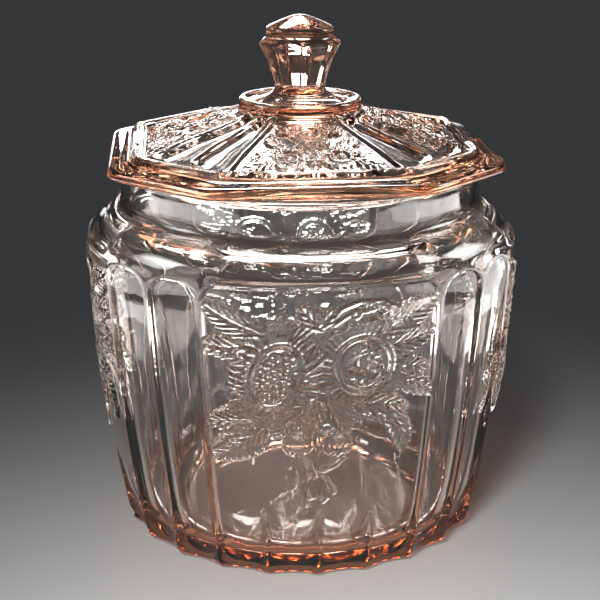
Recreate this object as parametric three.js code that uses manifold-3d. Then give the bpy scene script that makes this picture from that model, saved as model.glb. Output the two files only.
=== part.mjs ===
import * as THREE from "three";
import { mergeVertices } from "three/addons/utils/BufferGeometryUtils.js";
import Module from "manifold-3d";

// Lidded jar of pressed pink glass, in millimetres. +Z is up and z = 0 is the underside of the
// foot ring. The middles of the four picture panels face -Y, +X, +Y and -X.

// Overall sizes
const NECK_RADIUS = 66;
const MOUTH_RADIUS = 63.4;
const RIM_TOP = 136.7;
const SEAT_GAP = 0.3;
const LID_SEAT = RIM_TOP + SEAT_GAP;
const LID_TOP = 189.2;

// Pattern shared by the jar and the lid
const RIB_PITCH = 15;
const PANEL_EDGE = 30;
const SECTORS = 120;
const HOLLOW_SECTORS = 48;

// Jar wall
const ARCH_TOP = 110.5;
const ARCH_CORNER = 0.66;
const ARCH_DROP = 7;
const ARCH_RUN = 3;
const FLUTE_DEPTH = 2.8;
const FOOT_FLUTE_DEPTH = 2.4;
const FOOT_FLUTE_TOP = 30;
const PANEL_RECESS = 1.2;
const CORNER_BULGE = 2;
const BULGE_FULL = 105;
const BULGE_END = 127;
const SHOULDER_FALL = 3.5;
const SHOULDER_EDGE = 24;
const SHOULDER_BOTTOM = 111;
const SHOULDER_FULL = 117;
const SHOULDER_INNER = 73;
const NECK_ROUND_FROM = 127.5;
const RIM_CURVE = 135;
const FLOOR_TOP = 6.5;
const FOOT_RECESS = 1.2;
const FOOT_RECESS_RADIUS = 45;

// Lid
const LID_PANEL_EDGE = 28;
const BRIM_SIDE = 69.5;
const BRIM_CORNER = 75.3;
const COLLAR_RADIUS = 22.4;
const LID_FLUTE_DEPTH = 1.7;
const LID_PANEL_RECESS = 1.1;
const LOCATING_RADIUS = 61.3;
const LOCATING_BORE = 57.6;
const LOCATING_BOTTOM = 132;
const DOME_BOTTOM = 142;
const DOME_EDGE = 59;
const EIGHT_SIDED_FROM = 45;
const PRESSED_FROM = 28;
const PRESSED_TO = 54;
const PRESSED_END = 58.5;
const KNOB_SIDES = 8;
const KNOB_FLATS_BOTTOM = 162.5;
const KNOB_FLATS_FULL = 164;
const KNOB_FLATS_TOP = 180;

// Outer outline of the jar, its shoulder as at the corners, as [radius, height], foot to rim
const JAR_OUTLINE = [
  [0, FOOT_RECESS],
  [FOOT_RECESS_RADIUS, FOOT_RECESS],
  [FOOT_RECESS_RADIUS + 1.5, 0],
  [63.6, 0],
  [66.2, 0.9],
  [68.4, 3],
  [69.5, 5.8],
  [70.7, 12],
  [72, 20],
  [73.5, 30],
  [75.8, 50],
  [78.1, 80],
  [79, 97],
  [79.3, 104],
  [79.3, 108],
  [78.9, 111.6],
  [78, 115.2],
  [76.3, 118.3],
  [73.9, 120.5],
  [70.9, 121.6],
  [68.4, 122],
  [66.8, 122.7],
  [NECK_RADIUS, 124.4],
  [NECK_RADIUS, 131],
  [NECK_RADIUS, RIM_CURVE],
  [NECK_RADIUS - 0.2, 136],
  [NECK_RADIUS - 0.8, RIM_TOP],
  [0, RIM_TOP],
];

// Inner outline of the jar, as [radius, height], floor to mouth
const JAR_HOLLOW = [
  [0, FLOOR_TOP],
  [56, FLOOR_TOP + 0.4],
  [61.5, 9],
  [65, 13.5],
  [66.9, 20],
  [69, 32],
  [71.2, 52],
  [73.3, 80],
  [74.3, 99],
  [74.2, 108],
  [73.9, 111.5],
  [72.9, 113.6],
  [71, 115.2],
  [68.4, 116.4],
  [66, 117.4],
  [64.3, 118.9],
  [MOUTH_RADIUS, 121.5],
  [MOUTH_RADIUS, RIM_CURVE],
  [MOUTH_RADIUS + 0.4, 136],
  [MOUTH_RADIUS + 1.4, RIM_TOP + 0.4],
  [0, RIM_TOP + 0.4],
];

// Outer outline of the lid at the middle of a panel, as [radius, height], locating ring to knob
const LID_OUTLINE = [
  [0, LOCATING_BOTTOM],
  [LOCATING_RADIUS - 0.7, LOCATING_BOTTOM],
  [LOCATING_RADIUS, LOCATING_BOTTOM + 0.7],
  [LOCATING_RADIUS, LID_SEAT],
  [BRIM_SIDE - 1, LID_SEAT],
  [BRIM_SIDE, LID_SEAT + 1],
  [BRIM_SIDE, 140.8],
  [BRIM_SIDE - 0.8, 141.7],
  [63, 142.8],
  [61.4, 144.1],
  [59.6, 145.2],
  [57.4, 144.7],
  [54.5, 145.5],
  [51.5, 146.4],
  [45, 148.6],
  [36, 151.3],
  [27, 154.2],
  [COLLAR_RADIUS, 155.8],
  [COLLAR_RADIUS, 159],
  [COLLAR_RADIUS - 1.2, 159.9],
  [18.4, 159],
  [13, 160.2],
  [9.8, 162],
  [8.9, 163.8],
  [9.6, 167],
  [11.6, 173],
  [14.2, 178],
  [14.6, 179.2],
  [12.4, 181.2],
  [12.2, 184.8],
  [6, 187.5],
  [1.5, 189],
  [0, LID_TOP],
];

// Inner outline of the lid, as [radius, height], ring mouth to the crown
const LID_HOLLOW = [
  [0, LOCATING_BOTTOM - 1],
  [LOCATING_BORE, LOCATING_BOTTOM - 1],
  [LOCATING_BORE, 138],
  [55, 140],
  [48, 142.4],
  [36, 146.2],
  [24, 149.8],
  [12, 151.8],
  [0, 152.3],
];

const manifold = await Module();
manifold.setup();

const degrees = THREE.MathUtils.radToDeg;
const radians = THREE.MathUtils.degToRad;
const lerp = THREE.MathUtils.lerp;

// 0 below low, 1 above high, smooth between
function smooth(value, low, high) {
  return THREE.MathUtils.smoothstep(value, low, high);
}

// Angle in degrees from the middle of the nearest panel, 0 to 45
function fromPanel(turn) {
  const folded = THREE.MathUtils.euclideanModulo(turn + 45, 90) - 45;
  return Math.abs(folded);
}

// Place across the flute that holds this angle: -1 and 1 on its two ribs, 0 in the middle
function acrossFlute(angle) {
  return 2 * ((angle % RIB_PITCH) / RIB_PITCH) - 1;
}

// Depth of a flute across its width: steep beside the ribs, nearly flat in the middle
function scoopAt(angle) {
  return 1 - Math.abs(acrossFlute(angle)) ** 3;
}

// How far the jar's wall stands in from its rib line
function jarDepth(turn, height) {
  const angle = fromPanel(turn);
  const across = acrossFlute(angle);
  const scoop = scoopAt(angle);
  const low = 1 - smooth(height, 0, FOOT_FLUTE_TOP);
  if (angle >= PANEL_EDGE) {
    const rounding = Math.max(0, (Math.abs(across) - (1 - ARCH_CORNER)) / ARCH_CORNER);
    const top = ARCH_TOP - ARCH_DROP * (1 - Math.sqrt(1 - rounding * rounding));
    const depth = lerp(FLUTE_DEPTH, FOOT_FLUTE_DEPTH, low);
    return depth * scoop * smooth(top - height, 0, ARCH_RUN);
  }
  const edge = smooth(PANEL_EDGE - angle, 0, 3);
  const recess = PANEL_RECESS * edge * smooth(ARCH_TOP - height, 0, 3);
  return lerp(recess, FOOT_FLUTE_DEPTH * scoop, low);
}

// 0 at the middle of a panel, rising to 1 at its edge and all across the corner
function cornerShare(turn) {
  return Math.sin(radians(Math.min((90 * fromPanel(turn)) / PANEL_EDGE, 90))) ** 2;
}

// How far the rib line itself stands out at the corners between panels
function cornerBulge(turn, height) {
  const rise = smooth(height, 0, BULGE_FULL) * (1 - smooth(height, ARCH_TOP, BULGE_END));
  return CORNER_BULGE * cornerShare(turn) * rise;
}

function jarRadius(radius, turn, height) {
  if (radius < FOOT_RECESS_RADIUS + 2) return radius;
  if (height > NECK_ROUND_FROM) return radius;
  return radius + cornerBulge(turn, height) - jarDepth(turn, height);
}

// How far the shoulder over a panel lies below the shoulder at the corners
function shoulderDrop(radius, turn, height) {
  const panel = 1 - smooth(fromPanel(turn), SHOULDER_EDGE, PANEL_EDGE);
  const outward = smooth(radius, NECK_RADIUS + 0.5, SHOULDER_INNER);
  return SHOULDER_FALL * panel * outward * smooth(height, SHOULDER_BOTTOM, SHOULDER_FULL);
}

// Distance from the axis to the brim's eight-sided edge
function brimRadius(turn) {
  const angle = fromPanel(lidTurn(turn));
  const side = BRIM_SIDE / Math.cos(radians(angle));
  const corner = BRIM_CORNER / Math.cos(radians(45 - angle));
  return Math.min(side, corner);
}

// The collar is round and the brim eight-sided; the dome changes from one to the other
function lidRadius(radius, turn, height) {
  if (height > KNOB_FLATS_BOTTOM && height < KNOB_FLATS_TOP) {
    const half = 180 / KNOB_SIDES;
    const folded = THREE.MathUtils.euclideanModulo(turn, 2 * half) - half;
    const flat = Math.cos(radians(half)) / Math.cos(radians(folded));
    return radius * lerp(1, flat, smooth(height, KNOB_FLATS_BOTTOM, KNOB_FLATS_FULL));
  }
  if (radius <= COLLAR_RADIUS) return radius;
  if (height < LID_SEAT + 0.5 && radius < LOCATING_RADIUS + 1) return radius;
  const eightSided = smooth(radius, COLLAR_RADIUS, EIGHT_SIDED_FROM);
  return radius * lerp(1, brimRadius(turn) / BRIM_SIDE, eightSided);
}

// The lid's ribs run to the brim's corners, so its panels are a little narrower than the jar's
function lidTurn(turn) {
  const folded = THREE.MathUtils.euclideanModulo(turn + 45, 90) - 45;
  const angle = Math.abs(folded);
  const corner = (45 - LID_PANEL_EDGE) / (45 - PANEL_EDGE);
  const moved =
    angle < PANEL_EDGE ? (angle * LID_PANEL_EDGE) / PANEL_EDGE : 45 - (45 - angle) * corner;
  return turn - folded + Math.sign(folded) * moved;
}

// Panels and flutes are pressed down into the dome between the ribs
function lidDrop(radius, turn, height) {
  if (radius <= COLLAR_RADIUS || radius > DOME_EDGE || height < DOME_BOTTOM) return 0;
  const angle = fromPanel(turn);
  const ends = smooth(radius, COLLAR_RADIUS, PRESSED_FROM) * (1 - smooth(radius, PRESSED_TO, PRESSED_END));
  if (angle >= PANEL_EDGE) return LID_FLUTE_DEPTH * scoopAt(angle) * ends;
  return LID_PANEL_RECESS * smooth(PANEL_EDGE - angle, 0, 3) * ends;
}

// A solid of revolution about Z whose points are moved by turnAt, radiusAt and dropAt
function revolve(outline, sectors, turnAt, radiusAt, dropAt) {
  const points = outline.map(([radius, height]) => new THREE.Vector2(radius, height));
  const shape = new THREE.LatheGeometry(points, sectors).rotateX(Math.PI / 2);
  shape.deleteAttribute("normal");
  shape.deleteAttribute("uv");
  const place = shape.getAttribute("position");
  for (let i = 0; i < place.count; i += 1) {
    const x = place.getX(i);
    const y = place.getY(i);
    const height = place.getZ(i);
    const radius = Math.hypot(x, y);
    if (radius < 1e-6) {
      place.setXYZ(i, 0, 0, height);
      continue;
    }
    const turn = degrees(Math.atan2(x, -y));
    const around = radians(turnAt(turn));
    const out = radiusAt(radius, turn, height);
    const drop = dropAt(radius, turn, height);
    place.setXYZ(i, out * Math.sin(around), -out * Math.cos(around), height - drop);
  }
  return solid(shape);
}

function solid(geometry) {
  const merged = mergeVertices(geometry, 1e-4);
  return new manifold.Manifold(
    new manifold.Mesh({
      numProp: 3,
      vertProperties: new Float32Array(merged.getAttribute("position").array),
      triVerts: new Uint32Array(merged.index.array),
    }),
  );
}

function mesh(name, body, material) {
  const made = body.getMesh();
  const geometry = new THREE.BufferGeometry();
  geometry.setAttribute("position", new THREE.BufferAttribute(made.vertProperties, 3));
  geometry.setIndex(new THREE.BufferAttribute(made.triVerts, 1));
  geometry.computeVertexNormals();
  const result = new THREE.Mesh(geometry, material);
  result.name = name;
  return result;
}

const unturned = (turn) => turn;
const unmoved = (radius) => radius;
const level = () => 0;

const pinkGlass = new THREE.MeshStandardMaterial({
  color: 0xf3b9a4,
  roughness: 0.06,
  metalness: 0,
  transparent: true,
  opacity: 0.45,
});

const jarBody = revolve(JAR_OUTLINE, SECTORS, unturned, jarRadius, shoulderDrop);
const jarHollow = revolve(JAR_HOLLOW, HOLLOW_SECTORS, unturned, unmoved, level);
const jar = mesh("jar", jarBody.subtract(jarHollow), pinkGlass);

const lidBody = revolve(LID_OUTLINE, SECTORS, lidTurn, lidRadius, lidDrop);
const lidHollow = revolve(LID_HOLLOW, HOLLOW_SECTORS, unturned, unmoved, level);
const lid = mesh("lid", lidBody.subtract(lidHollow), pinkGlass);

const dish = new THREE.Group();
dish.name = "lidded_jar";
dish.add(jar, lid);

export default dish;
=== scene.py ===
import math
import bpy
import numpy as np
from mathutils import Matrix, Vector


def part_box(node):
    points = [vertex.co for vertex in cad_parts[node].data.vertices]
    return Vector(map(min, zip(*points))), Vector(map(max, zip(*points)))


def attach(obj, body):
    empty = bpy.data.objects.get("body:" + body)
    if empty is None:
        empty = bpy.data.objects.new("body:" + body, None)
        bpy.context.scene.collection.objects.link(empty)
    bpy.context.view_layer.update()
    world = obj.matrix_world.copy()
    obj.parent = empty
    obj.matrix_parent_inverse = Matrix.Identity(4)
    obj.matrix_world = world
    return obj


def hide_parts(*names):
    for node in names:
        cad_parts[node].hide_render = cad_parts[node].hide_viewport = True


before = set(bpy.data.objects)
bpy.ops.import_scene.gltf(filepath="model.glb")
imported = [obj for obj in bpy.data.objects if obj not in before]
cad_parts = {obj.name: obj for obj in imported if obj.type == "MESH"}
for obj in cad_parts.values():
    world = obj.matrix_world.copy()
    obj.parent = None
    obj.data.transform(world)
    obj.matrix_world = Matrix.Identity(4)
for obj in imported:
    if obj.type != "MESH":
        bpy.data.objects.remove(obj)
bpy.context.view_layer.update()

# Lidded jar of pressed pink glass. Shapes are worked out in millimetres and made in metres.
# A turn is the angle round the axis in degrees: 0 faces -Y, 90 faces +X.
MM = 0.001
PANELS = 4

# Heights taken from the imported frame
JAR_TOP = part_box("jar")[1][2] / MM
LID_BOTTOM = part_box("lid")[0][2] / MM
LID_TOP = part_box("lid")[1][2] / MM
LID_SEAT = JAR_TOP + 0.3

# Jar: ribs and flutes, panels, tones, corners, neck and foot
RIB_PITCH = 15
JAR_PANEL_EDGE = 30
ARCH_TOP = 110.5
ARCH_BOTTOM = 3.5
ARCH_CORNER = 7
HALF_RIB = 1.9
ARCH_SOFTNESS = 3.2
STEP_AT_ARCH = 0.45
PANEL_STEP_AT_ARCH = 0.25
STEP_RUN_OUT = 14
FLUTE_DEPTH = 2.7
FLUTE_STEP = 1.5
FLUTE_RUN_OUT = 40
FOOT_FLUTE_DEPTH = 2.2
FOOT_FLUTE_TOP = 34
PANEL_RECESS = 1.5
PANEL_CORNER = 5
SHORT_RIB_HALF = 0.9
SHORT_RIB_HEIGHT = 0.8
SHORT_RIB_FADES_FROM = 20
SHORT_RIB_TOP = 30
FLUTE_ROUNDNESS = 2.5
UNDERSIDE_TONE = 0.2
FOOT_TONE_FROM = 6
FOOT_TONE_TOP = 22
RIB_TONE_FROM = 20
RIB_TONE_TOP = 105
RIB_TONE_DEPTH = 1.3
CORNER_BULGE = 2
BULGE_FULL = 105
BULGE_END = 127
RELIEF_RADIUS = 78
RELIEF_BOTTOM = 28
RELIEF_FULL = 32
NECK_RADIUS = 66
MOUTH_RADIUS = 63.4
SHOULDER_FALL = 3.5
SHOULDER_EDGE = 24
SHOULDER_BOTTOM = 111
SHOULDER_FULL = 117
SHOULDER_INNER = 73
NECK_ROUND_FROM = 127.5
FLOOR_TOP = 6.5
FOOT_RECESS = 1.2
FOOT_RECESS_RADIUS = 45
JAR_PANEL_POINTS = 196
JAR_CORNER_POINTS = 64

# Spacing of the jar's rings, closest where the relief is
FINE_STEP = 0.42
PLAIN_STEP = 1.0
NECK_STEP = 1.2
COARSE_STEP = 2.5
RELIEF_RINGS_FROM = 27
RELIEF_RINGS_TO = 112
NECK_RINGS_FROM = 126
MOUTH_RINGS_FROM = 108
UNDERSIDE_RADIUS = 62

# Lid: ribs and flutes, brim, border beads, locating ring, knob and tones
LID_PANEL_EDGE = 28
LID_RIB_PITCH = 17
BRIM_SIDE = 69.5
BRIM_CORNER = 75.3
COLLAR_RADIUS = 22.4
LID_HALF_RIB = 1
LID_STEP = 0.6
LID_FLUTE_DEPTH = 2.2
LID_PANEL_RECESS = 1.1
LID_CHANNEL_IN = 21
LID_CHANNEL_OUT = 57
BORDER_RADIUS = 59.7
BEAD_PITCH = 2.6
BEAD_HEIGHT = 0.7
LOCATING_RADIUS = 61.3
LOCATING_BORE = 57.6
KNOB_SIDES = 8
KNOB_FLATS_FROM = 162.5
KNOB_FLATS_TO = 180.6
KNOB_EDGE_HALF = 0.8
KNOB_EDGE_HEIGHT = 0.3
DOME_EDGE = 142
EIGHT_SIDED_FROM = 45
CORNER_SHARPNESS = 0.6
LID_PANEL_POINTS = 140
LID_CORNER_POINTS = 48
COLLAR_TONE = 0.25

JAR_OUTSIDE = [
    (0, FOOT_RECESS), (25, FOOT_RECESS), (FOOT_RECESS_RADIUS, FOOT_RECESS),
    (FOOT_RECESS_RADIUS + 0.9, 0.8), (FOOT_RECESS_RADIUS + 1.7, 0.1), (FOOT_RECESS_RADIUS + 3, 0),
    (56, 0), (63, 0), (65.2, 0.4), (67, 1.5), (68.4, 3.1), (69.4, 5.6), (70.7, 12), (72, 20),
    (73.5, 30), (75.8, 50), (78.1, 80), (79, 97), (79.3, 104), (79.3, 108), (78.9, 111.6),
    (78, 115.2), (76.3, 118.3), (73.9, 120.5), (70.9, 121.6), (68.4, 122), (66.9, 122.6),
    (NECK_RADIUS + 0.15, 123.8), (NECK_RADIUS, 126), (NECK_RADIUS, 131), (NECK_RADIUS, 134.9),
    (NECK_RADIUS - 0.3, 136.1), (NECK_RADIUS - 1.2, JAR_TOP),
]
JAR_INSIDE = [
    (MOUTH_RADIUS + 0.8, 136.5), (MOUTH_RADIUS + 0.15, 135.5), (MOUTH_RADIUS, 132),
    (MOUTH_RADIUS, 122.5), (64.1, 119.2), (65.9, 117.5), (68.4, 116.4), (71, 115.2), (72.9, 113.6),
    (73.9, 111.5), (74.2, 108), (74.3, 99), (73.3, 80), (71.2, 52), (69, 32), (66.9, 20), (65, 13.5),
    (61.5, 9), (56, FLOOR_TOP + 0.5), (46, FLOOR_TOP), (20, FLOOR_TOP), (0, FLOOR_TOP),
]
LID_UNDERSIDE = [
    (0, 152.3), (6, 152.2), (12, 151.8), (24, 149.8), (36, 146.2), (48, 142.4), (55, 140),
    (LOCATING_BORE, 138), (LOCATING_BORE, 134.5), (LOCATING_BORE + 0.2, LID_BOTTOM + 0.9),
    (LOCATING_BORE + 1.2, LID_BOTTOM), (LOCATING_RADIUS - 1.2, LID_BOTTOM),
    (LOCATING_RADIUS - 0.2, LID_BOTTOM + 0.9), (LOCATING_RADIUS, 134), (LOCATING_RADIUS, 136),
    (LOCATING_RADIUS + 0.4, LID_SEAT - 0.2), (LOCATING_RADIUS + 1.2, LID_SEAT),
]
LID_OUTSIDE = [
    (65.6, LID_SEAT + 0.1), (BRIM_SIDE - 2.2, LID_SEAT + 0.8), (BRIM_SIDE - 0.6, LID_SEAT + 1.2),
    (BRIM_SIDE, LID_SEAT + 2.1), (BRIM_SIDE, 140), (BRIM_SIDE - 0.3, 141.2),
    (BRIM_SIDE - 1.4, 141.8), (66.5, 142.1), (63.4, 142.6), (62.2, 143.1), (61.2, 144.3),
    (59.9, 145.1), (58.6, 144.9), (57.6, 144.7), (54.5, 145.5), (51.5, 146.4), (45, 148.6),
    (36, 151.3), (27, 154.2), (23.4, 155.5), (COLLAR_RADIUS, 156.3), (COLLAR_RADIUS, 158.7),
    (COLLAR_RADIUS - 0.5, 159.6), (COLLAR_RADIUS - 1.5, 159.9), (COLLAR_RADIUS - 2.6, 159.6),
    (18.2, 159), (15.5, 159.3), (12, 160.5), (9.7, 162.2), (8.9, 164), (9.6, 167), (11.6, 173),
    (14, 177.6), (14.6, 178.8), (14.5, 179.5), (13.4, 180.5), (12.5, 181.2), (12.2, 182),
    (12.2, 184.2), (11.9, 184.9), (11.2, 185.3), (6, 187.6), (2, 189), (0, LID_TOP),
]


# ---------------------------------------------------------------- numbers and curves

def smooth(value, low, high):
    """0 below low, 1 above high, smooth between."""
    t = np.clip((value - low) / (high - low), 0, 1)
    return t * t * (3 - 2 * t)


def mix(a, b, share):
    return a + (b - a) * share


def folded(turn):
    """Signed angle from the middle of the nearest panel, -45 to 45."""
    return (turn + 45) % 90 - 45


def curve_through(points):
    """A dense smooth curve through the points (centripetal Catmull-Rom)."""
    p = np.array(points, float)
    p = np.vstack([2 * p[0] - p[1], p, 2 * p[-1] - p[-2]])
    found = []
    share = np.linspace(0, 1, 24, endpoint=False)[:, None]
    for a, b, c, d in zip(p[:-3], p[1:-2], p[2:-1], p[3:]):
        t1 = np.linalg.norm(b - a) ** 0.5
        t2 = t1 + np.linalg.norm(c - b) ** 0.5
        t3 = t2 + np.linalg.norm(d - c) ** 0.5
        t = t1 + (t2 - t1) * share
        ab = a + (b - a) * t / t1
        bc = b + (c - b) * (t - t1) / (t2 - t1)
        cd = c + (d - c) * (t - t2) / (t3 - t2)
        abc = ab + (bc - ab) * t / t2
        bcd = bc + (cd - bc) * (t - t1) / (t3 - t1)
        found.append(abc + (bcd - abc) * (t - t1) / (t2 - t1))
    return np.vstack(found + [p[-2:-1]])


def spaced(dense, step_at):
    """Points along a dense curve, about step_at(radius, height) apart."""
    gaps = np.linalg.norm(np.diff(dense, axis=0), axis=1)
    middles = (dense[1:] + dense[:-1]) / 2
    pace = np.concatenate([[0], np.cumsum(gaps / step_at(middles[:, 0], middles[:, 1]))])
    stops = np.linspace(0, pace[-1], int(math.ceil(pace[-1])) + 1)
    heights = np.maximum(np.interp(stops, pace, dense[:, 1]), 0)
    return np.column_stack([np.interp(stops, pace, dense[:, 0]), heights])


# ---------------------------------------------------------------- meshes made of rings

RING_RATIO = 4


def ring_turns(panel_edge, in_panel, in_corner):
    """Turns of a fine ring's points: close together across each panel, wider at the corners."""
    panel = np.linspace(-panel_edge, panel_edge, in_panel, endpoint=False)
    corner = np.linspace(panel_edge, 90 - panel_edge, in_corner, endpoint=False)
    sector = np.concatenate([panel, corner])
    return np.concatenate([sector + 90 * k for k in range(PANELS)])


def join(low, high):
    """Faces between two rings of point numbers, the same length or one RING_RATIO times longer."""
    if len(low) < len(high):
        return [face[::-1] for face in join(high, low)]
    n = len(low)
    if n == len(high):
        return [(low[i], low[(i + 1) % n], high[(i + 1) % n], high[i]) for i in range(n)]
    faces = []
    half = RING_RATIO // 2
    for j in range(len(high)):
        after = high[(j + 1) % len(high)]
        for k in range(RING_RATIO):
            i = RING_RATIO * j + k
            faces.append((low[i], low[(i + 1) % n], high[j] if k < half else after))
        faces.append((low[RING_RATIO * j + half], after, high[j]))
    return faces


def skin(name, rings, first, last):
    """A closed mesh from the point first, through the rings, to the point last."""
    stack = np.vstack([np.array([first])] + rings + [np.array([last])])
    faces = []
    numbers = []
    count = 1
    for ring in rings:
        numbers.append(list(range(count, count + len(ring))))
        count += len(ring)
    start, end = numbers[0], numbers[-1]
    faces += [(0, start[(i + 1) % len(start)], start[i]) for i in range(len(start))]
    for low, high in zip(numbers[:-1], numbers[1:]):
        faces += join(low, high)
    faces += [(end[i], end[(i + 1) % len(end)], count) for i in range(len(end))]
    mesh = bpy.data.meshes.new(name)
    mesh.from_pydata((stack[:, :3] * MM).tolist(), [], faces)
    mesh.polygons.foreach_set("use_smooth", [True] * len(mesh.polygons))
    mesh.attributes.new("tone", "FLOAT", "POINT").data.foreach_set("value", stack[:, 3])
    mesh.update()
    piece = bpy.data.objects.new(name, mesh)
    bpy.context.scene.collection.objects.link(piece)
    return piece


def around(turns, radius, height, tone=0):
    """Points at these turns, radii and heights, each with its tone: 1 where the glass is deepest."""
    angle = np.radians(turns)
    return np.column_stack([radius * np.sin(angle), -radius * np.cos(angle),
                            np.broadcast_to(height, turns.shape),
                            np.broadcast_to(tone, turns.shape)])


# ---------------------------------------------------------------- relief stamps
# Each stamp gives its height in millimetres over the arrays u (across) and v (up).

def local(u, v, at, tilt):
    """Coordinates seen from at, with the first axis turned by tilt degrees."""
    c, s = math.cos(math.radians(tilt)), math.sin(math.radians(tilt))
    return (u - at[0]) * c + (v - at[1]) * s, (v - at[1]) * c - (u - at[0]) * s


def rods(phase):
    """Rounded rods side by side with narrow grooves between them, from 0 to 1."""
    return np.sqrt(np.abs(np.cos(math.pi * phase)))


def leaf(u, v, base, tip, half_width, height=1.6, pitch=1.65, bend=0):
    """A notched leaf with slanting veins, its middle line bent sideways by bend."""
    along_u, along_v = tip[0] - base[0], tip[1] - base[1]
    length = math.hypot(along_u, along_v)
    a, b = local(u, v, base, math.degrees(math.atan2(along_v, along_u)))
    inside = np.clip(a / length, 0, 1)
    b = np.abs(b - bend * np.sin(math.pi * inside))
    slant = (0.5 * a - 0.87 * b) / pitch
    edge = half_width * np.sin(math.pi * inside ** 0.85) ** 0.7 + 0.4 * np.cos(2 * math.pi * slant)
    body = smooth(edge - b, -0.2, 0.7) * (a > 0) * (a < length)
    midrib = np.exp(-(b / 0.5) ** 2)
    return height * body * (0.3 + 0.7 * rods(slant)) * (1 - 0.7 * midrib)


def ridge(u, v, points, radius, height):
    """A half-round cord along the points."""
    found = np.full(u.shape, 1e9)
    for (u0, v0), (u1, v1) in zip(points[:-1], points[1:]):
        du, dv = u1 - u0, v1 - v0
        share = np.clip(((u - u0) * du + (v - v0) * dv) / (du * du + dv * dv), 0, 1)
        found = np.minimum(found, np.hypot(u - u0 - share * du, v - v0 - share * dv))
    return height * np.sqrt(np.clip(1 - (found / radius) ** 2, 0, 1))


def ringlet(u, v, at, radius, thickness, height):
    """A small raised ring."""
    off = (np.hypot(u - at[0], v - at[1]) - radius) / thickness
    return height * np.sqrt(np.clip(1 - off ** 2, 0, 1))


def pebbles(u, v, centres, radius, height):
    found = np.zeros(u.shape)
    for cu, cv in centres:
        near = ((u - cu) ** 2 + (v - cv) ** 2) / radius ** 2
        found = np.maximum(found, height * np.sqrt(np.clip(1 - near, 0, 1)))
    return found


def packed(at, size, tilt, pitch, rng):
    """Centres of pebbles packed in an ellipse of half-sizes size."""
    centres = []
    c, s = math.cos(math.radians(tilt)), math.sin(math.radians(tilt))
    rows = int(size[1] / (pitch * 0.866)) + 1
    for row in range(-rows, rows + 1):
        for column in range(-rows - 2, rows + 3):
            a = (column + 0.5 * (row % 2)) * pitch + rng.uniform(-0.18, 0.18) * pitch
            b = row * pitch * 0.866 + rng.uniform(-0.18, 0.18) * pitch
            if (a / size[0]) ** 2 + (b / size[1]) ** 2 < 1:
                centres.append((at[0] + a * c - b * s, at[1] + a * s + b * c))
    return centres


def ruffle(u, v, at, size, tilt, inner, reach, lobes, stripes, height, start):
    """A ring of ruffled petals, striped from the middle outwards, round an ellipse."""
    a, b = local(u, v, at, tilt)
    rho = np.hypot(a / size[0], b / size[1])
    phi = np.arctan2(b / size[1], a / size[0])
    edge = reach * (1 + 0.07 * np.cos(lobes * phi + start) + 0.04 * np.cos((2 * lobes + 1) * phi))
    scale = (size[0] + size[1]) / 2
    body = smooth((edge - rho) * scale, -0.1, 0.8) * smooth((rho - inner) * scale, -0.3, 0.5)
    sway = 0.5 * np.sin(4 * rho + 3 * phi + start)
    between = smooth(np.cos(lobes * phi + start), -1, -0.86)
    stripe = rods(stripes * phi / (2 * math.pi) + sway)
    return height * body * (0.4 + 0.6 * stripe) * (0.5 + 0.5 * between)


def petal(u, v, centre, direction, width, inner, outer, stripes=7, height=1.5, lip=0.5):
    """One broad petal of a rose: a rounded fan between two distances from the centre."""
    a, b = local(u, v, centre, direction)
    rho = np.hypot(a, b)
    side = np.degrees(np.arctan2(b, a)) / width
    edge = outer * (1 - 0.16 * np.abs(side) ** 2.5 + 0.02 * np.cos(9 * side))
    body = smooth(edge - rho, -0.1, 0.8) * smooth(rho - inner, -0.3, 0.5)
    body = body * smooth((1 - np.abs(side)) * math.radians(width) * rho, -0.1, 0.7)
    curl = np.exp(-((edge - rho - 1) / 0.7) ** 2)
    stripe = rods(stripes * side / 2 + 0.25 * np.sin(0.5 * rho))
    return height * body * (0.35 + 0.45 * stripe * smooth(edge - rho, 1.4, 2.2) + lip * curl)


def bowl(u, v, centre, radius, height):
    """The open heart of a rose: a raised lip round a hollow with an inner petal."""
    rho = np.hypot(u - centre[0], v - centre[1])
    phi = np.arctan2(v - centre[1], u - centre[0])
    lip = np.exp(-((rho - radius * 0.95) / 0.6) ** 2)
    low = smooth(centre[1] - v, -0.5 * radius, 0.3 * radius)
    inner = np.exp(-((rho - radius * 0.76) / 0.55) ** 2) * low
    lines = rods(9 * phi) * smooth(rho, 0.3 * radius, 0.45 * radius) * (1 - low)
    return height * (lip + 0.75 * inner + 0.5 * lines * smooth(radius * 0.85 - rho, 0, 0.8))


def over(ground, stamp, share=0.25):
    """A stamp laid over what is already there: the higher wins, and a little adds."""
    top = np.maximum(ground, stamp)
    return top + share * np.minimum(ground, stamp) * (stamp > 0.05)


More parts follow.
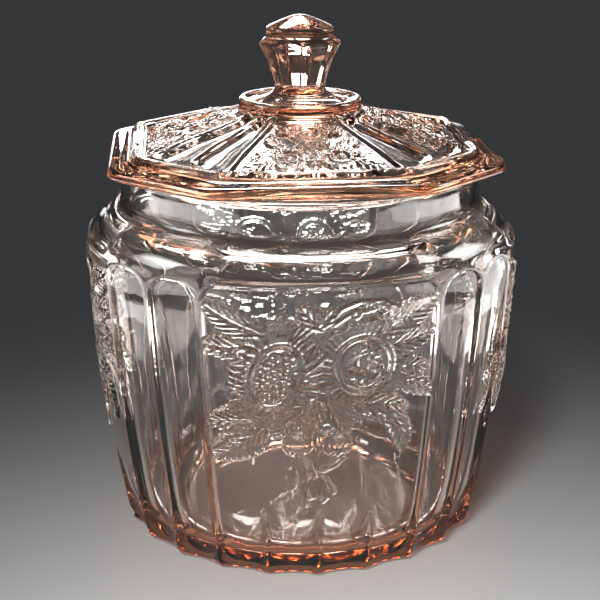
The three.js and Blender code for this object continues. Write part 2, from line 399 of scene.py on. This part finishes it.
def jar_bouquet(u, v):
    """Relief of one jar panel: two roses, leaves, two buds and tied stems."""
    rng = np.random.default_rng(7)
    h = np.zeros(u.shape)
    # leaves behind the roses: base, tip, half width, bend
    for base, tip, half_width, bend in [
            ((-20, 95), (-39.5, 105), 4.8, 0.8), ((-25, 98.5), (-20, 91), 3.4, 0),
            ((-26, 90.5), (-41, 91), 4.2, 1), ((-29, 87), (-40, 88), 2, -0.6),
            ((0.5, 96), (-8, 105.5), 3.8, 0), ((-1, 97), (4, 104), 2.6, 0),
            ((19, 93), (40.5, 105), 5.6, 1), ((23, 90), (40, 93.5), 4.6, -0.5),
            ((26, 81), (38.5, 80), 3.6, 0.5), ((25, 77), (42, 69), 4, 1.2),
            ((-13, 70), (-41, 62), 6.6, 2), ((-16, 68), (-40.5, 48), 7, 2.2),
            ((-12, 66), (-30, 52), 5, -1), ((9, 69), (32, 65), 4.6, 1.8),
            ((22, 67), (31, 47.5), 4, 2.4), ((-5, 71), (-17, 58), 5, 0),
            ((-1, 71), (-5.5, 57), 4.4, 0.5), ((2, 72), (9.5, 58.5), 5, 0),
            ((9, 72), (14, 62), 3.4, 0)]:
        h = over(h, leaf(u, v, base, tip, half_width, bend=bend))
    h = over(h, ridge(u, v, [(2, 99), (6, 103.5), (12, 106), (20, 106), (27, 103)], 0.8, 1.0))
    h = over(h, ridge(u, v, [(4, 98), (9, 101.5), (15, 102.5)], 0.7, 0.9))
    for at in [(20, 102.8), (24.2, 102), (16, 104), (11, 101.5), (27, 99.5), (22, 99)]:
        h = over(h, ringlet(u, v, at, 1.3, 0.6, 1.1))
    # seeded rose
    seeded, disc, lean = (-15.8, 80.2), (7.4, 10.4), -25
    h = over(h, ruffle(u, v, seeded, disc, lean, 1.2, 2.02, 9, 44, 1.5, 0.4), 0.1)
    h = over(h, ruffle(u, v, seeded, disc, lean, 1.2, 1.56, 8, 36, 1.9, 1.9), 0)
    a, b = local(u, v, seeded, lean)
    rho = np.hypot(a / disc[0], b / disc[1])
    h = np.where(rho < 1.2, 0, h)
    h = np.maximum(h, 1.7 * np.exp(-((rho - 1) / 0.07) ** 2))
    seeds = packed(seeded, (disc[0] * 0.86, disc[1] * 0.9), lean, 2.5, rng)
    h = np.maximum(h, pebbles(u, v, seeds, 1.15, 1.5))
    # rose in full bloom
    heart = (14, 83.5)
    for direction, width, reach in [(188, 34, 18.5), (228, 26, 17), (262, 24, 15.5), (296, 28, 17),
                                    (346, 30, 18.5), (30, 24, 15.5), (75, 26, 17), (112, 20, 16),
                                    (145, 24, 17)]:
        h = over(h, petal(u, v, heart, direction, width, 10.6, reach, stripes=6), 0.1)
    rho = np.hypot(u - heart[0], v - heart[1])
    h = np.where(rho < 10.4, 0, h)
    h = np.maximum(h, bowl(u, v, heart, 9.8, 1.7))
    for at in [(16, 88.8), (18.3, 87.2), (16.6, 85.6), (19.4, 84.2), (16.6, 82.4), (19, 81.2),
               (13.6, 90)]:
        h = np.maximum(h, ringlet(u, v, at, 0.7, 0.65, 1.6))
    for at in [(9.7, 80.4), (12.9, 79.4)]:
        a, b = local(u, v, at, 0)
        h = np.maximum(h, 1.6 * np.sqrt(np.clip(1 - (a / 1.9) ** 2 - (b / 2.7) ** 2, 0, 1)))
    # buds and stems
    for at in [(-8.3, 55), (6, 54.6)]:
        a, b = local(u, v, at, 0)
        body = np.sqrt(np.clip(1 - (a / 4.8) ** 2 - (b / 4.8) ** 2, 0, 1))
        h = over(h, 1.7 * body * (0.55 + 0.45 * rods(a / 1.9)))
        mouth = [(at[0] + 2.8 * math.cos(k), at[1] + 3.5 + math.sin(k)) for k in
                 np.linspace(0, 2 * math.pi, 13)]
        h = over(h, ridge(u, v, mouth, 0.7, 1.9), 0)
        frill = [(at[0] - 4 + k, at[1] - 1.6 - 1.3 * (k % 2)) for k in range(9)]
        h = over(h, ridge(u, v, frill, 0.65, 1.7), 0)
    for stem in [[(-1.6, 60), (-1.4, 52), (-1.8, 44)], [(8, 49.5), (5.5, 47), (2, 45.3), (-1.8, 44)],
                 [(-8, 51), (-5, 48), (-1.8, 44)],
                 [(-1.8, 44), (-4, 43.2), (-5.4, 40.5), (-5.6, 37.5), (-4, 34)],
                 [(-1.8, 44), (-3, 41), (-3.2, 37.5), (-2.6, 34.5)],
                 [(-1.8, 44), (1, 42), (2, 37), (2.2, 34), (0.8, 32.6)],
                 [(-1.8, 44), (2.2, 41), (5, 36)]]:
        h = over(h, ridge(u, v, stem, 1, 1.45), 0.1)
    return h


def lid_bouquet(u, v):
    """Relief of one lid panel: u is across and v is the distance from the axis."""
    rng = np.random.default_rng(11)
    h = np.zeros(u.shape)
    for base, tip, half_width in [((-9, 46), (-24.5, 55), 4), ((9, 46), (24.5, 55), 4),
                                  ((-10, 42), (-15.5, 33), 3.2), ((10, 42), (16.5, 35.5), 3.4),
                                  ((6, 33), (12.5, 28.5), 3), ((-6, 33), (-12, 28), 2.8),
                                  ((-13, 46), (-21, 46.5), 2.6), ((14, 46), (21.5, 47), 2.8),
                                  ((0, 44), (0.5, 55), 3), ((-3, 45), (-6, 55), 2.8),
                                  ((4, 45), (6.5, 55), 2.8), ((0, 28), (8, 25.5), 2),
                                  ((0, 28), (-8, 25.5), 2), ((-3, 37), (-3, 43), 2.4),
                                  ((3, 37), (4, 43), 2.4)]:
        h = over(h, leaf(u, v, base, tip, half_width, height=1.2, pitch=1.7))
    striped = (-8.8, 48)
    h = over(h, ruffle(u, v, striped, (3.9, 3.6), 15, 1.2, 2.05, 7, 22, 1.3, 0.7), 0.1)
    h = np.where(np.hypot(u - striped[0], v - striped[1]) < 4.4, 0, h)
    h = np.maximum(h, ringlet(u, v, striped, 3.6, 0.6, 1.3))
    for at in packed(striped, (2.7, 2.5), 15, 1.7, rng):
        h = np.maximum(h, pebbles(u, v, [at], 0.85, 1.1))
    for heart, size, first in [((9, 47.6), 3.9, 20), ((0, 31.5), 3.9, 50)]:
        for k in range(6):
            direction = first + 60 * k
            h = over(h, petal(u, v, heart, direction, 32, size + 0.5, 1.95 * size, 4, 1.2), 0.1)
        h = np.where(np.hypot(u - heart[0], v - heart[1]) < size + 0.4, 0, h)
        h = np.maximum(h, bowl(u, v, heart, size, 1.2))
        h = np.maximum(h, pebbles(u, v, [heart], 1.2, 1.2))
    h = over(h, ridge(u, v, [(-1, 38), (0, 43), (-0.5, 47)], 0.7, 1))
    return h


# ---------------------------------------------------------------- jar

def from_corner(qu, qv, corner):
    """Distance inside a rounded rectangle, from the distances past its corner's centre."""
    return corner - np.hypot(np.maximum(qu, 0), np.maximum(qv, 0)) - np.minimum(np.maximum(qu, qv), 0)


def window(u, v, half, corner):
    """Distance inside a tall opening with rounded corners, from ARCH_BOTTOM to ARCH_TOP."""
    middle = (ARCH_TOP + ARCH_BOTTOM) / 2
    qu = np.abs(u) - (half - corner)
    qv = np.abs(v - middle) - (ARCH_TOP - middle - corner)
    return from_corner(qu, qv, corner)


def edge_round(inside, half_rib):
    """1 inside an opening, falling to 0 in a quarter round over half a rib outside it."""
    out = np.clip(-inside / half_rib, 0, 1)
    return 1 - np.sqrt(1 - (1 - out) ** 2)


def jar_depth(turns, radius, height):
    """How far the wall stands in from its rib line."""
    angle = np.abs(folded(turns))
    foot = 1 - smooth(height, 0, FOOT_FLUTE_TOP)
    arc = math.radians(RIB_PITCH / 2) * radius
    across = (angle % RIB_PITCH) / (RIB_PITCH / 2) - 1
    scallop = FOOT_FLUTE_DEPTH * (1 - across ** 2) * foot
    run_out = smooth(ARCH_TOP - height, 0, STEP_RUN_OUT)
    step = mix(STEP_AT_ARCH, 1, run_out)
    # flutes: a crisp edge round each, and a hollow that runs out below the arch
    soft = mix(HALF_RIB, ARCH_SOFTNESS, smooth(height, ARCH_TOP - ARCH_CORNER, ARCH_TOP))
    inside = window(across * arc, height, arc - HALF_RIB, ARCH_CORNER)
    hollow = (FLUTE_DEPTH - FLUTE_STEP) * (1 - np.abs(across) ** FLUTE_ROUNDNESS) * (1 - foot)
    hollow = hollow * smooth(ARCH_TOP - height, 0, FLUTE_RUN_OUT)
    flute = scallop + hollow + FLUTE_STEP * step * edge_round(inside, soft)
    wide = math.radians(JAR_PANEL_EDGE) * radius - HALF_RIB
    within = window(math.radians(1) * radius * angle, height, wide, PANEL_CORNER)
    recess = PANEL_RECESS * mix(PANEL_STEP_AT_ARCH, 1, run_out) * edge_round(within, HALF_RIB)
    # short ribs in a panel's foot, fading out upwards
    short = np.exp(-(((1 - np.abs(across)) * arc) / SHORT_RIB_HALF) ** 2)
    short = short * (angle < JAR_PANEL_EDGE - 5)
    short = short * (1 - smooth(height, SHORT_RIB_FADES_FROM, SHORT_RIB_TOP)) * smooth(height, 3, 8)
    panel = scallop + recess - SHORT_RIB_HEIGHT * short
    return np.where(angle < JAR_PANEL_EDGE, panel, flute)


def corner_share(turns):
    """0 at the middle of a panel, rising to 1 at its edge and all across the corner."""
    return np.sin(np.radians(np.minimum(90 * np.abs(folded(turns)) / JAR_PANEL_EDGE, 90))) ** 2


def corner_bulge(turns, height):
    rise = smooth(height, 0, BULGE_FULL) * (1 - smooth(height, ARCH_TOP, BULGE_END))
    return CORNER_BULGE * corner_share(turns) * rise


def shoulder_drop(turns, radius, height):
    """How far the shoulder over a panel lies below the shoulder at the corners."""
    panel = 1 - smooth(np.abs(folded(turns)), SHOULDER_EDGE, JAR_PANEL_EDGE + 1)
    over_panel = panel * smooth(radius, NECK_RADIUS + 0.5, SHOULDER_INNER)
    return SHOULDER_FALL * over_panel * smooth(height, SHOULDER_BOTTOM, SHOULDER_FULL)


def jar_relief(turns, outline):
    """Relief heights for every outline point and turn, zero outside the panels."""
    signed = folded(turns)
    u = np.radians(signed)[None, :] * RELIEF_RADIUS
    v = outline[:, 1][:, None]
    u, v = np.broadcast_arrays(u, v)
    first = slice(0, len(turns) // PANELS)
    one = jar_bouquet(u[:, first], v[:, first])
    fade = smooth(JAR_PANEL_EDGE - np.abs(signed[first]), 0.5, 2)[None, :]
    fade = fade * smooth(ARCH_TOP - 3 - v[:, first], 0, 2)
    fade = fade * smooth(v[:, first], RELIEF_BOTTOM, RELIEF_FULL)
    return np.tile(one * fade, (1, PANELS))


def jar_tone(depth, height):
    """Deep at the foot's edge, and along the ribs low on the wall."""
    foot = 1 - smooth(height, FOOT_TONE_FROM, FOOT_TONE_TOP)
    rib = (1 - smooth(depth, 0.2, RIB_TONE_DEPTH)) * (1 - smooth(height, RIB_TONE_FROM, RIB_TONE_TOP))
    return np.maximum(foot, rib)


def make_jar():
    turns = ring_turns(JAR_PANEL_EDGE, JAR_PANEL_POINTS, JAR_CORNER_POINTS)
    coarse = turns[::RING_RATIO]

    def outside_step(radius, height):
        in_relief = (height >= RELIEF_RINGS_FROM) & (height < RELIEF_RINGS_TO)
        step = np.where(in_relief, FINE_STEP, PLAIN_STEP)
        step = np.where(height > NECK_RINGS_FROM, NECK_STEP, step)
        return np.where(radius < UNDERSIDE_RADIUS, COARSE_STEP, np.where(height < 6, 0.7, step))

    outline = spaced(curve_through(JAR_OUTSIDE), outside_step)
    relief = jar_relief(turns, outline)
    rings = []
    for (radius, height), bump in zip(outline[1:], relief[1:]):
        if radius < FOOT_RECESS_RADIUS + 2:
            rings.append(around(coarse, radius, height, UNDERSIDE_TONE))
        elif height > NECK_ROUND_FROM:
            rings.append(around(turns, radius, height))
        else:
            share = smooth(radius, FOOT_RECESS_RADIUS + 2, 60)
            depth = share * jar_depth(turns, radius, height)
            out = corner_bulge(turns, height) - depth + bump
            level = height - shoulder_drop(turns, radius, height)
            rings.append(around(turns, radius + out, level, jar_tone(depth, height)))
    inside = spaced(curve_through(JAR_INSIDE), lambda r, z: np.where(z > MOUTH_RINGS_FROM, 0.8, 2.6))
    rings += [around(coarse, radius, height) for radius, height in inside[:-1]]
    return skin("jar_body", rings, (0, 0, outline[0][1], UNDERSIDE_TONE), (0, 0, inside[-1][1], 0))


# ---------------------------------------------------------------- lid

def brim_radius(turns):
    """Distance from the axis to the brim's eight-sided edge, its corners slightly rounded."""
    angle = np.abs(folded(turns))
    side = BRIM_SIDE / np.cos(np.radians(angle))
    corner = BRIM_CORNER / np.cos(np.radians(45 - angle))
    both = np.exp(-CORNER_SHARPNESS * side) + np.exp(-CORNER_SHARPNESS * corner)
    return -np.log(both) / CORNER_SHARPNESS


def lid_radius(turns, radius, height):
    if KNOB_FLATS_FROM < height < KNOB_FLATS_TO:
        half = 180 / KNOB_SIDES
        off = (turns % (2 * half)) - half
        flat = math.cos(math.radians(half)) / np.cos(np.radians(off))
        from_edge = (half - np.abs(off)) * math.radians(1) * radius
        strip = np.exp(-(from_edge / KNOB_EDGE_HALF) ** 4)
        share = smooth(height, KNOB_FLATS_FROM, KNOB_FLATS_FROM + 2)
        share = share * (1 - smooth(height, KNOB_FLATS_TO - 1.2, KNOB_FLATS_TO))
        return radius * mix(1, flat, share) + KNOB_EDGE_HEIGHT * strip * share
    if radius <= COLLAR_RADIUS or (height < LID_SEAT and radius < LOCATING_RADIUS + 0.7):
        return radius
    eight_sided = smooth(radius, COLLAR_RADIUS, EIGHT_SIDED_FROM)
    if height < LID_SEAT + 0.05 and radius < 64:
        eight_sided = smooth(radius, LOCATING_RADIUS + 0.5, 64)
    return radius * mix(1, brim_radius(turns) / BRIM_SIDE, eight_sided)


def channel(across, half, radius, corner):
    """Distance inside a radial opening of the dome with rounded corners."""
    middle = (LID_CHANNEL_IN + LID_CHANNEL_OUT) / 2
    qu = np.abs(across) * half - (half - corner)
    qv = abs(radius - middle) - (LID_CHANNEL_OUT - middle - corner)
    return from_corner(qu, qv, corner)


def lid_drop(turns, radius, height):
    """How far the dome's flutes and panels are pressed down between the ribs."""
    if radius <= COLLAR_RADIUS or radius > 60 or height < DOME_EDGE:
        return np.zeros(turns.shape)
    angle = np.abs(folded(turns))
    across = (angle - LID_PANEL_EDGE) % LID_RIB_PITCH / (LID_RIB_PITCH / 2) - 1
    half = math.radians(LID_RIB_PITCH / 2) * radius - LID_HALF_RIB
    inside = channel(across * (half + LID_HALF_RIB) / half, half, radius, 0.8 * half)
    flute = LID_STEP * edge_round(inside, LID_HALF_RIB)
    flute = flute + (LID_FLUTE_DEPTH - LID_STEP) * (1 - across ** 2) * smooth(inside, 0, 3.5)
    wide = math.radians(LID_PANEL_EDGE) * radius
    share = angle / LID_PANEL_EDGE * wide / (wide - LID_HALF_RIB)
    inside = channel(share, wide - LID_HALF_RIB, radius, 2)
    panel = LID_PANEL_RECESS * edge_round(inside, LID_HALF_RIB)
    return np.where(angle < LID_PANEL_EDGE, panel, flute)


def border_beads(turns, radius, height):
    """A few small beads on the border round the dome, at each corner of its eight sides."""
    if height < DOME_EDGE or abs(radius - BORDER_RADIUS) > 2:
        return np.zeros(turns.shape)
    along = math.radians(1) * BORDER_RADIUS * (np.abs(folded(turns)) - 22.5)
    reach = 1 - smooth(np.abs(along), 6, 8)
    crown = math.exp(-((radius - BORDER_RADIUS) / 1.1) ** 2)
    return BEAD_HEIGHT * rods(along / BEAD_PITCH) * reach * crown


def lid_relief(turns, outline):
    signed = folded(turns)
    first = slice(0, len(turns) // PANELS)
    d = outline[:, 0][:, None]
    u = d * np.tan(np.radians(signed[first]))[None, :]
    v = np.broadcast_to(d, u.shape)
    one = lid_bouquet(u, v)
    edge = (LID_PANEL_EDGE - np.abs(signed[first]))[None, :] * math.radians(1) * d
    fade = smooth(edge, 1.6, 3) * smooth(v, 24, 26.5) * (1 - smooth(v, 55, 56.5))
    fade = fade * (outline[:, 1] > DOME_EDGE)[:, None]
    return np.tile(one * fade, (1, PANELS))


def lid_tone(radius, height):
    """Deep in the brim, and a little in the collar and knob."""
    if height > 156:
        return COLLAR_TONE
    return float(smooth(radius, 59.5, 62.5)) if height < 146 else 0


def make_lid():
    turns = ring_turns(LID_PANEL_EDGE, LID_PANEL_POINTS, LID_CORNER_POINTS)
    coarse = turns[::RING_RATIO]

    def outside_step(radius, height):
        step = np.where(radius > 58.5, 0.6, np.where(radius > 23.5, 0.4, 0.5))
        step = np.where((height < 141.9) & (radius < 67), 1.6, step)
        step = np.where(height > 162, 0.7, step)
        return np.where(height > 185.2, 1, step)

    under = spaced(curve_through(LID_UNDERSIDE), lambda r, z: np.where(z > 140, 2.6, 0.6))
    outline = spaced(curve_through([LID_UNDERSIDE[-1]] + LID_OUTSIDE), outside_step)
    relief = lid_relief(turns, outline)
    rings = [around(coarse, radius, height) for radius, height in under[1:]]
    for (radius, height), bump in zip(outline[1:-1], relief[1:-1]):
        level = height - lid_drop(turns, radius, height) + bump
        level = level + border_beads(turns, radius, height)
        out = lid_radius(turns, radius, height)
        rings.append(around(turns, out, level, lid_tone(radius, height)))
    return skin("lid_body", rings, (0, 0, under[0][1], 0), (0, 0, outline[-1][1], 0))


# ---------------------------------------------------------------- glass

CLEAR = (1, 0.988, 0.98, 1)
ABSORBED = (0.93, 0.62, 0.42, 1)
LET_THROUGH = (0.72, 0.67, 0.65, 1)


def pink_glass(name, tint, deep, absorption, density):
    """Clear pink glass: colour comes from its thickness, the surface is softly rippled."""
    material = bpy.data.materials.new(name)
    material.use_nodes = True
    tree = material.node_tree
    nodes, link = tree.nodes, tree.links.new
    nodes.clear()
    out = nodes.new("ShaderNodeOutputMaterial")
    glass = nodes.new("ShaderNodeBsdfPrincipled")
    glass.inputs["Transmission Weight"].default_value = 1
    glass.inputs["IOR"].default_value = 1.52
    glass.inputs["Specular IOR Level"].default_value = 0.5

    tone = nodes.new("ShaderNodeAttribute")
    tone.attribute_name = "tone"
    colour = nodes.new("ShaderNodeMix")
    colour.data_type = "RGBA"
    colour.inputs["A"].default_value = tint
    colour.inputs["B"].default_value = deep
    link(tone.outputs["Fac"], colour.inputs["Factor"])
    link(colour.outputs["Result"], glass.inputs["Base Color"])

    place = nodes.new("ShaderNodeTexCoord")
    ripple = nodes.new("ShaderNodeTexNoise")
    ripple.inputs["Scale"].default_value = 55
    ripple.inputs["Detail"].default_value = 1.5
    grain = nodes.new("ShaderNodeTexNoise")
    grain.inputs["Scale"].default_value = 700
    grain.inputs["Detail"].default_value = 3
    soft = nodes.new("ShaderNodeBump")
    soft.inputs["Strength"].default_value = 0.28
    soft.inputs["Distance"].default_value = 0.0006
    fine = nodes.new("ShaderNodeBump")
    fine.inputs["Strength"].default_value = 0.12
    fine.inputs["Distance"].default_value = 0.00005
    patch = nodes.new("ShaderNodeTexNoise")
    patch.inputs["Scale"].default_value = 30
    patch.inputs["Detail"].default_value = 4
    rough = nodes.new("ShaderNodeMapRange")
    rough.inputs["From Min"].default_value = 0.35
    rough.inputs["From Max"].default_value = 0.75
    rough.inputs["To Min"].default_value = 0.01
    rough.inputs["To Max"].default_value = 0.05
    for texture in (ripple, grain, patch):
        link(place.outputs["Object"], texture.inputs["Vector"])
    link(ripple.outputs["Fac"], soft.inputs["Height"])
    link(grain.outputs["Fac"], fine.inputs["Height"])
    link(soft.outputs["Normal"], fine.inputs["Normal"])
    link(fine.outputs["Normal"], glass.inputs["Normal"])
    link(patch.outputs["Fac"], rough.inputs["Value"])
    link(rough.outputs["Result"], glass.inputs["Roughness"])

    # light passes through to the floor and to the far walls instead of casting a black shadow
    clear = nodes.new("ShaderNodeBsdfTransparent")
    clear.inputs["Color"].default_value = LET_THROUGH
    ray = nodes.new("ShaderNodeLightPath")
    shader = glass.outputs["BSDF"]
    for kind in ("Is Diffuse Ray", "Is Shadow Ray"):
        choice = nodes.new("ShaderNodeMixShader")
        link(ray.outputs[kind], choice.inputs["Fac"])
        link(shader, choice.inputs[1])
        link(clear.outputs["BSDF"], choice.inputs[2])
        shader = choice.outputs["Shader"]
    link(shader, out.inputs["Surface"])

    inside = nodes.new("ShaderNodeVolumeAbsorption")
    inside.inputs["Color"].default_value = absorption
    inside.inputs["Density"].default_value = density
    link(inside.outputs["Volume"], out.inputs["Volume"])
    return material


jar_glass = pink_glass("jar_pink_glass", CLEAR, (1, 0.34, 0.14, 1), ABSORBED, 24)
lid_glass = pink_glass("lid_pink_glass", CLEAR, (1, 0.44, 0.22, 1), ABSORBED, 32)

jar = make_jar()
jar.data.materials.append(jar_glass)
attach(jar, "jar")
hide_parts("jar")

lid = make_lid()
lid.data.materials.append(lid_glass)
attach(lid, "lid")
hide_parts("lid")


# ---------------------------------------------------------------- floor, light and camera

def make_floor():
    mesh = bpy.data.meshes.new("floor")
    reach = 6
    corners = [(-reach, -reach, 0), (reach, -reach, 0), (reach, reach, 0), (-reach, reach, 0)]
    mesh.from_pydata(corners, [], [(0, 1, 2, 3)])
    floor = bpy.data.objects.new("floor", mesh)
    bpy.context.scene.collection.objects.link(floor)
    material = bpy.data.materials.new("pale_floor")
    material.use_nodes = True
    shader = material.node_tree.nodes["Principled BSDF"]
    shader.inputs["Base Color"].default_value = (0.62, 0.61, 0.6, 1)
    shader.inputs["Roughness"].default_value = 0.6
    mesh.materials.append(material)
    return floor


def gathered(name, *objects):
    """A collection of the objects, for a light that lights only them."""
    group = bpy.data.collections.new(name)
    for item in objects:
        group.objects.link(item)
    return group


def area_light(name, place, target, size, power, spread, lit):
    """A rectangular light that only the objects in lit receive."""
    data = bpy.data.lights.new(name, "AREA")
    data.shape = "RECTANGLE"
    data.size, data.size_y = size
    data.energy = power
    data.spread = math.radians(spread)
    lamp = bpy.data.objects.new(name, data)
    lamp.location = place
    lamp.rotation_euler = (Vector(target) - Vector(place)).to_track_quat("-Z", "Y").to_euler()
    lamp.light_linking.receiver_collection = lit
    lamp.visible_camera = False
    bpy.context.scene.collection.objects.link(lamp)


def make_world():
    world = bpy.data.worlds.new("studio")
    world.use_nodes = True
    world.node_tree.nodes["Background"].inputs["Color"].default_value = (0.9, 0.95, 1, 1)
    world.node_tree.nodes["Background"].inputs["Strength"].default_value = 0.06
    bpy.context.scene.world = world


def make_camera():
    azimuth, pitch = math.radians(-5.45), math.radians(17.93)
    distance, height = 0.5081, 0.2461
    data = bpy.data.cameras.new("camera")
    data.sensor_width = 36
    data.lens = 84
    camera = bpy.data.objects.new("camera", data)
    camera.location = (distance * math.sin(azimuth), -distance * math.cos(azimuth), height)
    camera.rotation_euler = (math.pi / 2 - pitch, 0, azimuth)
    bpy.context.scene.collection.objects.link(camera)
    bpy.context.scene.camera = camera


ground = gathered("ground", make_floor())
glassware = gathered("glassware", jar, lid)
make_world()
middle = (0, 0, 0.1)
area_light("pool", (-0.3, -0.95, 0.85), (0, -0.3, 0), (0.4, 0.3), 0.95, 22, ground)
area_light("dome", (0, 0.75, 0.93), (0, 0, 0.14), (0.55, 0.33), 0.6, 26, glassware)
area_light("back_low", (0, 1.05, 0.2), (0, 0, 0.06), (1, 0.14), 0.2, 30, glassware)
area_light("base", (0, 0.95, 0.28), (0, 0, 0.01), (0.3, 0.1), 0.1, 30, glassware)
area_light("left", (-0.85, -0.05, 0.52), middle, (0.4, 0.4), 0.36, 40, glassware)
area_light("right", (0.85, 0.1, 0.54), middle, (0.4, 0.4), 0.36, 40, glassware)
area_light("card_left", (-0.39, -0.08, 0.004), (-0.39, -0.08, 1), (0.3, 0.5), 1.7, 180, glassware)
area_light("card_right", (0.39, -0.08, 0.004), (0.39, -0.08, 1), (0.3, 0.5), 1.7, 180, glassware)
make_camera()
bpy.context.scene.cycles.transmission_bounces = 24
bpy.context.scene.cycles.max_bounces = 28
bpy.context.scene.view_settings.view_transform = "Standard"
